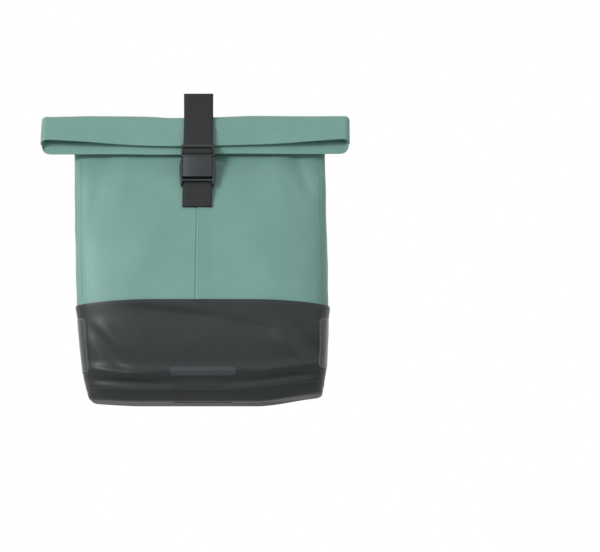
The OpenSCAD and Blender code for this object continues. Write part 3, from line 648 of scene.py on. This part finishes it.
def mouth_rows(radius, flap, neck, steps):
    """Rows of a mouth layer from its neck to its lip; flap(part) is its length across the bag."""
    rows = []
    parts = [-1 + 2 * i / MOUTH_COLUMNS for i in range(MOUTH_COLUMNS + 1)]
    parts = [math.copysign(1 - (1 - abs(p)) ** 1.35, p) for p in parts]
    for j in range(steps + 1):
        row = []
        for part in parts:
            x = part * LIP_HALF
            end = max(0.0, (abs(x) - (HALF_MOUTH - 7)) / 5.5)
            r = WELD_R + (radius - WELD_R) * math.sqrt(max(0.0, 1 - end * end))
            arc = r * FOLD_TURN
            long = neck + arc + flap(abs(part))
            along = -neck + long * j / steps
            wave = mouth_wave(x, radius, along)
            over = math.sin(min(max(along / arc, 0.0), 1.0) * math.pi)
            beside = max(0.0, abs(x) - FLAT_HALF)
            dent = 2.4 * math.exp(-(beside / 34) ** 2) * over * (r / OUTER_R)
            hem = smooth((along - (arc + flap(abs(part)) - HEM_DEPTH)) / 1.2) * HEM_RISE
            press = lip_press(part, along - arc, r)
            reach = r + (wave - dent) * smooth((1 - abs(part)) * 12) + hem - press
            y, z = folded(reach, along + (reach - r) * FOLD_TURN * smooth(along / arc))
            if along < 0:
                y = hinge.y + r - 1.6 * smooth((fold_z - 8 - z) / 8)
                x *= min(1, (along_rows(max(z, 330), width_rows) + 3.5) / HALF_MOUTH)
            sag = mouth_sag(part) * smooth((along + 10) / 30) * 0.6
            row.append(Vector((x - MOUTH_SHIFT * abs(part), y, z + sag)))
        rows.append(row)
    return rows


def end_turn(part):
    """How far the two lips have turned towards each other at the ends of the mouth."""
    t = min(max((part * HALF_MOUTH - (HALF_MOUTH - 12)) / 11.5, 0), 1)
    return 1 - math.sqrt(1 - t * t)


def outer_flap(part):
    """The outer layer's length below the fold, by distance from the middle."""
    return 35 - 7.5 * part ** 1.6 + 4.5 * end_turn(part)


def inner_flap(part):
    """The inner layer's length below the fold, by distance from the middle."""
    return 44.5 - 1.2 * part - 9.5 * end_turn(part)


outer_cloth = add_piece("mouth_outer_cloth", grid_mesh("mouth_outer_cloth",
                        mouth_rows(OUTER_R, outer_flap, 26, 66)), green_cloth, None,
                        ["mouth_outer_layer"])
thicken(outer_cloth, 1.3, edge=0.3)
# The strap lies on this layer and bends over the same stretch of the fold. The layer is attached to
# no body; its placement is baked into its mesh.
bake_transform(outer_cloth)
inner_cloth = add_piece("mouth_inner_cloth", grid_mesh("mouth_inner_cloth",
                        mouth_rows(INNER_R, inner_flap, 20, 66)), green_cloth, None,
                        ["mouth_inner_layer"])
thicken(inner_cloth, 1.3, edge=0.3)
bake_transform(inner_cloth)


def lip_points(radius, flap, back_from_lip, lift):
    """A line on the hem along a layer's lip, for its stitches; it stops short of the ends."""
    points = []
    for i in range(MOUTH_COLUMNS + 1):
        part = -0.965 + 1.93 * i / MOUTH_COLUMNS
        x = part * LIP_HALF
        along = radius * FOLD_TURN + flap(abs(part)) - back_from_lip
        wave = mouth_wave(x, radius, along)
        press = lip_press(part, along - radius * FOLD_TURN, radius)
        reach = radius + wave * smooth((1 - abs(part)) * 12) + HEM_RISE - press
        y, z = folded(reach + lift, along + (reach + lift - radius) * FOLD_TURN)
        points.append(Vector((x - MOUTH_SHIFT * abs(part), y, z + mouth_sag(part) * 0.6)))
    return points


lip_thread = thread_material("bonded thread, pale green", "#A6C2B8")
lip_normal = Vector((0, math.cos(FOLD_TURN), math.sin(FOLD_TURN)))
for row_name, back in (("hem_stitch", 16.2), ("lip_stitch", 3.2)):
    points = lip_points(OUTER_R, outer_flap, back, 0.15)
    stitch_row("mouth_" + row_name, points, [lip_normal] * len(points), lip_thread, "roll",
               radius=0.34)
points = lip_points(INNER_R, inner_flap, 3.0, 0.15)
stitch_row("inner_lip_stitch", points, [lip_normal] * len(points), lip_thread, "roll",
           radius=0.34)

# ---------------------------------------------------------------- webbing
# Polypropylene webbing, 38 mm wide: woven in a fine rib, dull, with a firm rounded edge. The
# closing strap starts on the back, passes over the fold and turns back round the buckle's bar.


def woven_webbing(name, face, groove_shade):
    """Ribbed polypropylene webbing; its 0.6 mm ribs are drawn at 2.2 mm so that they show, with
    painted shade in the grooves between them.
    """
    material, tree, output = new_material(name)
    place = node(tree, "TexCoord")
    ribs = node(tree, "TexWave", {"Vector": place.outputs["UV"]}, bands_direction="Y",
                Scale=wave_scale(0.0022), Distortion=1.2, Detail=2.0)
    yarns = node(tree, "TexWave", {"Vector": place.outputs["UV"]}, bands_direction="X",
                 Scale=wave_scale(0.0026), Distortion=0.4)
    weave = node(tree, "Math", {0: ribs.outputs["Fac"], 1: yarns.outputs["Fac"]}, operation="ADD")
    half = node(tree, "Math", {0: weave.outputs[0]}, operation="MULTIPLY")
    half.inputs[1].default_value = 0.5
    # The colour runs from the groove colour to the face colour with the weave's height: painted
    # shade in the grooves between ribs and yarns.
    tone = node(tree, "ValToRGB", {"Fac": half.outputs[0]})
    tone.color_ramp.elements[0].color = linear(groove_shade)
    tone.color_ramp.elements[1].color = linear(face)
    bump = node(tree, "Bump", {"Height": half.outputs[0]}, Strength=0.5, Distance=0.0004)
    shader = node(tree, "BsdfPrincipled", {"Base Color": tone.outputs[0],
                  "Normal": bump.outputs[0]}, Roughness=0.7, IOR=1.49, Sheen_Weight=0.05)
    tree.links.new(shader.outputs[0], output.inputs[0])
    return material


# 060708 is the painted shade in the grooves between the ribs.
webbing = woven_webbing("ribbed polypropylene webbing, black", "#181B1C", "#060708")
STRAP_W = mm_box("load_strap")[1].x - mm_box("load_strap")[0].x
STRAP_T = 2.0


def curve_through(path, step=1.4):
    """Evenly spaced points on a smooth curve through a path of (depth, height) points."""
    ends = [path[0] * 2 - path[1], *path, path[-1] * 2 - path[-2]]
    points = []
    for a, b, c, d in zip(ends, ends[1:], ends[2:], ends[3:]):
        count = max(2, int((c - b).length / step))
        for k in range(count):
            t = k / count
            points.append(0.5 * (2 * b + (c - a) * t + (2 * a - 5 * b + 4 * c - d) * t * t
                                 + (3 * b - a - 3 * c + d) * t ** 3))
    points.append(path[-1])
    return points


def ribbon(name, path, material, body, replaced=(), across=Vector((1, 0, 0)),
           width=STRAP_W, twist=0.0):
    """A strap of webbing along a path of points, with firm rounded edges and a slight bow."""
    half = width / 2
    top = [(-half, 0.0), (-half + 0.25, 0.72), (-half + 0.8, 1.0)]
    top += [(-half + 0.8 + (width - 1.6) * i / 8, 1.0) for i in range(1, 9)]
    top += [(half - 0.25, 0.72), (half, 0.0)]
    loop = top + [(a, -b) for a, b in top[-2:0:-1]]
    rows = []
    for i, p in enumerate(path):
        ahead = (path[min(i + 1, len(path) - 1)] - path[max(i - 1, 0)]).normalized()
        out = ahead.cross(across).normalized()
        bow = 0.25 * math.sin(i * 0.11)
        rows.append([p + across * a + out * (b * STRAP_T / 2 + bow * (1 - (a / half) ** 2))
                     + across * 0.2 * math.sin(i * 0.07) for a, b in loop])
    mesh = grid_mesh(name, rows, closed=True)
    ends = bmesh.new()
    ends.from_mesh(mesh)
    bmesh.ops.holes_fill(ends, edges=[e for e in ends.edges if e.is_boundary])
    bmesh.ops.recalc_face_normals(ends, faces=ends.faces)
    ends.to_mesh(mesh)
    ends.free()
    return add_piece(name, mesh, material, body, replaced)


# The buckle lies tilted; its own depths and heights count from the point BUCKLE
LEAN = math.radians(24)
BUCKLE = Vector((0, back_y - 45.1, 332.4))


def on_buckle(depth, height):
    """A point in the buckle's own depth and height, in the bag's frame."""
    return Vector((0, BUCKLE.y + depth * math.cos(LEAN) + height * math.sin(LEAN),
                   BUCKLE.z - depth * math.sin(LEAN) + height * math.cos(LEAN)))


def over_fold(radius, along):
    """A point of the strap's middle line on its way over the fold."""
    y, z = folded(radius, along)
    return Vector((0, y, z))


STRAP_R = 13.9
TAIL_R = 16.4
arc = STRAP_R * FOLD_TURN
load_path = [Vector((0, back_y - 1.6, 331)), Vector((0, back_y - 4.0, 337)),
             over_fold(STRAP_R, -20), over_fold(STRAP_R, -8)]
load_path += [over_fold(STRAP_R - 2.1 * math.sin(i * math.pi / 10), arc * i / 10)
              for i in range(0, 11)]
load_path += [over_fold(STRAP_R, arc + d) for d in (8, 16, 24, 31)]
load_path += [on_buckle(-2, -2), on_buckle(-2, -8), on_buckle(-2, -11.2), on_buckle(-2.7, -12.5),
              on_buckle(-4.4, -13.0), on_buckle(-6.5, -12.5), on_buckle(-7.3, -11.2),
              on_buckle(-7.2, -7), on_buckle(-5.6, -4), on_buckle(-4.7, -1)]
tail_arc = TAIL_R * FOLD_TURN
load_path += [over_fold(TAIL_R, tail_arc + 22), over_fold(TAIL_R, tail_arc + 10),
              over_fold(TAIL_R, tail_arc + 1)]
tail_top = Vector((0, load_path[-1].y + 2.5, fold_z + 40.6))
load_path += [load_path[-1] + Vector((0, 0.9, 9)), tail_top + Vector((0, -0.4, -14)), tail_top]
strap_points = curve_through(load_path)
closing_strap = ribbon("closing_strap", strap_points, webbing, None,
                       ["load_strap", "back_strap"])
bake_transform(closing_strap)
turned_end = [tail_top + Vector((0, 1.9, 0.3)), tail_top + Vector((0, 1.9, -7.6))]
ribbon("tail_turned_end", curve_through(turned_end), webbing, "roll")
strap_thread = thread_material("bonded thread, black", "#3A3E40")
tail_row = [tail_top + Vector((x, -1.05, -6.6)) for x in range(-17, 18)]
stitch_row("tail_stitch", tail_row, [Vector((0, -1, 0.03))] * len(tail_row), strap_thread, "roll",
           pitch=2.6)

lower_z = mm_box("lower_strap")[0].z
lower_path = [surface(0.03, lower_z + 0.5) + Vector((0, -1.2, 0)),
              surface(0.03, lower_z + 9) + Vector((0, -1.4, 0)),
              on_buckle(-3.9, -66), on_buckle(-3.9, -60), on_buckle(-3.9, -55.5),
              on_buckle(-2.6, -50.4), on_buckle(0.0, -50.6), on_buckle(1.3, -54.5),
              on_buckle(1.3, -61)]
lower_path = [Vector((0, p.y, p.z)) for p in lower_path]
ribbon("lower_closing_strap", curve_through(lower_path), webbing, "bag",
       ["lower_strap"])
for drop in (3.0, 8.5):
    z = lower_z + drop
    y = surface(0.03, z).y - 2.3
    row = [Vector((x, y - 0.1, z)) for x in range(-17, 18)]
    stitch_row("lower_strap_stitch_" + str(int(drop)), row, [Vector((0, -1, 0.4)).normalized()]
               * len(row), strap_thread, "bag", pitch=2.6)

# ---------------------------------------------------------------- moulded and metal parts
# The buckle is acetal with a satin face, the hooks and lower track are glass-filled nylon, the
# liners soft rubber, the rail anodised aluminium, and pins, springs and fasteners plated steel.


def moulded_plastic(name, colour, rough, grain):
    """An injection-moulded plastic: an even spark-eroded texture and a faint flow pattern."""
    material, tree, output = new_material(name)
    place = node(tree, "TexCoord")
    texture = node(tree, "TexNoise", {"Vector": place.outputs["Object"]}, Scale=grain,
                   Detail=2.0)
    flow = node(tree, "TexNoise", {"Vector": place.outputs["Object"]}, Scale=40.0, Detail=3.0)
    gloss = node(tree, "MapRange", {"Value": flow.outputs["Fac"]})
    gloss.inputs["To Min"].default_value = rough - 0.06
    gloss.inputs["To Max"].default_value = rough + 0.06
    bump = node(tree, "Bump", {"Height": texture.outputs["Fac"]}, Strength=0.15,
                Distance=0.0002)
    shader = node(tree, "BsdfPrincipled", {"Roughness": gloss.outputs[0],
                  "Normal": bump.outputs[0]}, Base_Color=linear(colour), IOR=1.48)
    tree.links.new(shader.outputs[0], output.inputs[0])
    return material


def worked_metal(name, colour, rough, along):
    """A finished metal with the fine lines its working left, along one axis."""
    material, tree, output = new_material(name)
    place = node(tree, "TexCoord")
    turned = node(tree, "Mapping", {"Vector": place.outputs["Object"]}, Scale=along)
    lines = node(tree, "TexNoise", {"Vector": turned.outputs[0]}, Scale=900.0, Detail=2.0)
    gloss = node(tree, "MapRange", {"Value": lines.outputs["Fac"]})
    gloss.inputs["To Min"].default_value = rough - 0.08
    gloss.inputs["To Max"].default_value = rough + 0.1
    bump = node(tree, "Bump", {"Height": lines.outputs["Fac"]}, Strength=0.08, Distance=0.0001)
    shader = node(tree, "BsdfPrincipled", {"Roughness": gloss.outputs[0],
                  "Normal": bump.outputs[0]}, Base_Color=linear(colour), Metallic=1.0)
    tree.links.new(shader.outputs[0], output.inputs[0])
    return material


bodies_of = {name: body for body, names in frame["record"]["behaviour"]["bodies"].items()
             for name in names}


def softened(name, material, edge):
    """A hard part as it comes from its tool: the CAD shape with its edges rounded."""
    mesh = frame["nodes"][name].data.copy()
    shape = bmesh.new()
    shape.from_mesh(mesh)
    bmesh.ops.remove_doubles(shape, verts=shape.verts, dist=2e-6)
    bmesh.ops.dissolve_limit(shape, angle_limit=math.radians(1), verts=shape.verts,
                             edges=shape.edges)
    shape.to_mesh(mesh)
    shape.free()
    mesh.materials.clear()
    piece = add_piece(name + "_part", mesh, material, bodies_of.get(name, "bag"), [name])
    bevel = piece.modifiers.new("edge", "BEVEL")
    bevel.width = edge / 1000
    bevel.segments = 2
    bevel.limit_method = "ANGLE"
    bevel.angle_limit = math.radians(35)
    apply_modifiers(piece)
    piece.data.polygons.foreach_set("use_smooth", [True] * len(piece.data.polygons))
    piece.data.set_sharp_from_angle(angle=math.radians(32))
    return piece


buckle_nylon = moulded_plastic("acetal, satin black", "#2A2F31", 0.40, 700.0)
softened("buckle_top", buckle_nylon, 0.45)
softened("buckle_base", buckle_nylon, 0.45)
magnet_metal = worked_metal("nickel-plated magnet", "#A9ABAC", 0.3, (1, 1, 1))
softened("buckle_top_magnet", magnet_metal, 0.2)
softened("buckle_base_magnet", magnet_metal, 0.2)

board = moulded_plastic("extruded polyethylene board, black", "#24282B", 0.6, 300.0)
softened("back_board", board, 0.4)
base_board = softened("base_board", board, 0.4)
# The board lies in the base, so it follows the lifted corners
for vertex in base_board.data.vertices:
    reach = vertex.co.x * 1000
    vertex.co.z += (RIGHT_RISE * smooth((reach - 20) / 125)
                    + LEFT_RISE * smooth((-reach - 60) / 70)) / 1000

anodised = worked_metal("extruded aluminium, clear anodised", "#A4A8AB", 0.34, (0.02, 1, 1))
softened("top_rail", anodised, 0.3)
hook_nylon = moulded_plastic("glass-filled nylon, black", "#2C3032", 0.5, 520.0)
softened("rail_end_caps", hook_nylon, 0.5)
softened("lower_track", hook_nylon, 0.4)
softened("lower_hook", hook_nylon, 0.6)
plated = worked_metal("zinc-plated steel", "#B9BBBD", 0.3, (1, 1, 0.1))
for name in ("rail_bolts", "rail_nuts", "track_bolts", "track_nuts", "handle_rivets"):
    softened(name, plated, 0.25)
spring_wire = worked_metal("bright spring steel", "#C4C6C8", 0.22, (0.2, 1, 1))
soft_grip = moulded_plastic("thermoplastic rubber, dark grey", "#4B4F51", 0.62, 900.0)
latch_nylon = moulded_plastic("glass-filled nylon, grey", "#5C6164", 0.48, 520.0)
for side_name in ("left", "right"):
    softened(side_name + "_hook", hook_nylon, 0.5)
    softened(side_name + "_tube_liner", soft_grip, 0.3)
    softened(side_name + "_latch", latch_nylon, 0.18)
    softened(side_name + "_latch_pin", plated, 0.2)
    softened(side_name + "_latch_spring", spring_wire, 0.02)

# ---------------------------------------------------------------- carry handle
# A flat arch of the same webbing, riveted through the back under the rail.
handle_low, handle_high = mm_box("carry_handle")
handle_mid = (handle_low.z + handle_high.z) / 2
half = handle_high.x
rise = handle_high.y - back_y - 1
handle_path = [Vector((x * half, back_y + y, handle_mid)) for x, y in
               ((-1, 1.3), (-0.88, 1.3), (-0.76, 1.4), (-0.6, 7), (-0.42, rise - 3.4),
                (-0.2, rise - 0.4), (0, rise - 0.1), (0.2, rise - 0.4), (0.42, rise - 3.4),
                (0.6, 7), (0.76, 1.4), (0.88, 1.3), (1, 1.3))]
ribbon("carry_handle_webbing", curve_through(handle_path), webbing, "bag",
       ["carry_handle"], across=Vector((0, 0, 1)), width=handle_high.z - handle_low.z)

# ---------------------------------------------------------------- camera and stage
VIEW_DROP = math.radians(6)
VIEW_DISTANCE = 4.0
VIEW_WIDTH = 0.774          # metres across the view, at the bag
SENSOR_WIDTH = 36
aim = Vector((0.1318, 0, 0.1666))
camera_data = bpy.data.cameras.new("camera")
camera_data.sensor_width = SENSOR_WIDTH
camera_data.lens = SENSOR_WIDTH * VIEW_DISTANCE / VIEW_WIDTH
camera = bpy.data.objects.new("camera", camera_data)
bpy.context.scene.collection.objects.link(camera)
camera.location = aim - VIEW_DISTANCE * Vector((0, math.cos(VIEW_DROP), math.sin(VIEW_DROP)))
camera.rotation_euler = (math.pi / 2 + VIEW_DROP, 0, 0)
bpy.context.scene.camera = camera

FLOOR_DROP = 0.45
FLOOR_HALF = 6
floor_mesh = bpy.data.meshes.new("floor")
floor_mesh.from_pydata([(FLOOR_HALF * x, FLOOR_HALF * y, -FLOOR_DROP) for x, y in
                        ((-1, -1), (1, -1), (1, 1), (-1, 1))], [], [(0, 1, 2, 3)])
floor = bpy.data.objects.new("floor", floor_mesh)
bpy.context.scene.collection.objects.link(floor)
material, tree, output = new_material("pale studio floor")
facing = node(tree, "NewGeometry")
paint = node(tree, "BsdfPrincipled", Base_Color=(0.86, 0.86, 0.86, 1), Roughness=0.9)
clear = node(tree, "BsdfTransparent")
mix = node(tree, "MixShader", {0: facing.outputs["Backfacing"], 1: paint.outputs[0],
                               2: clear.outputs[0]})
tree.links.new(mix.outputs[0], output.inputs[0])
floor.data.materials.append(material)

world = bpy.data.worlds.new("studio")
bpy.context.scene.world = world
world.use_nodes = True
tree = world.node_tree
tree.nodes.clear()
rays = node(tree, "LightPath")
seen = node(tree, "Math", {0: rays.outputs["Is Camera Ray"], 1: rays.outputs["Is Glossy Ray"]},
            operation="MAXIMUM")
seen = node(tree, "Math", {0: seen.outputs[0], 1: rays.outputs["Is Transmission Ray"]},
            operation="MAXIMUM")
fill = node(tree, "Background", Color=(1, 1, 1, 1), Strength=0.40)
backdrop = node(tree, "Background", Color=(1, 1, 1, 1), Strength=1.0)
mix = node(tree, "MixShader", {0: seen.outputs[0], 1: fill.outputs[0], 2: backdrop.outputs[0]})
world_out = tree.nodes.new("ShaderNodeOutputWorld")
tree.links.new(mix.outputs[0], world_out.inputs[0])


def softbox(name, place, size, power):
    """A square area lamp that looks at the middle of the bag."""
    data = bpy.data.lights.new(name, "AREA")
    data.size = size
    data.energy = power
    lamp = bpy.data.objects.new(name, data)
    bpy.context.scene.collection.objects.link(lamp)
    lamp.location = place
    toward = Vector((0, 0, 0.2)) - lamp.location
    lamp.rotation_euler = toward.to_track_quat("-Z", "Y").to_euler()


softbox("key lamp", (-2.3, -2.4, 1.7), 1.1, 73)
softbox("fill lamp", (2.0, -2.4, 0.8), 1.8, 3)
bpy.context.scene.view_settings.view_transform = "Standard"
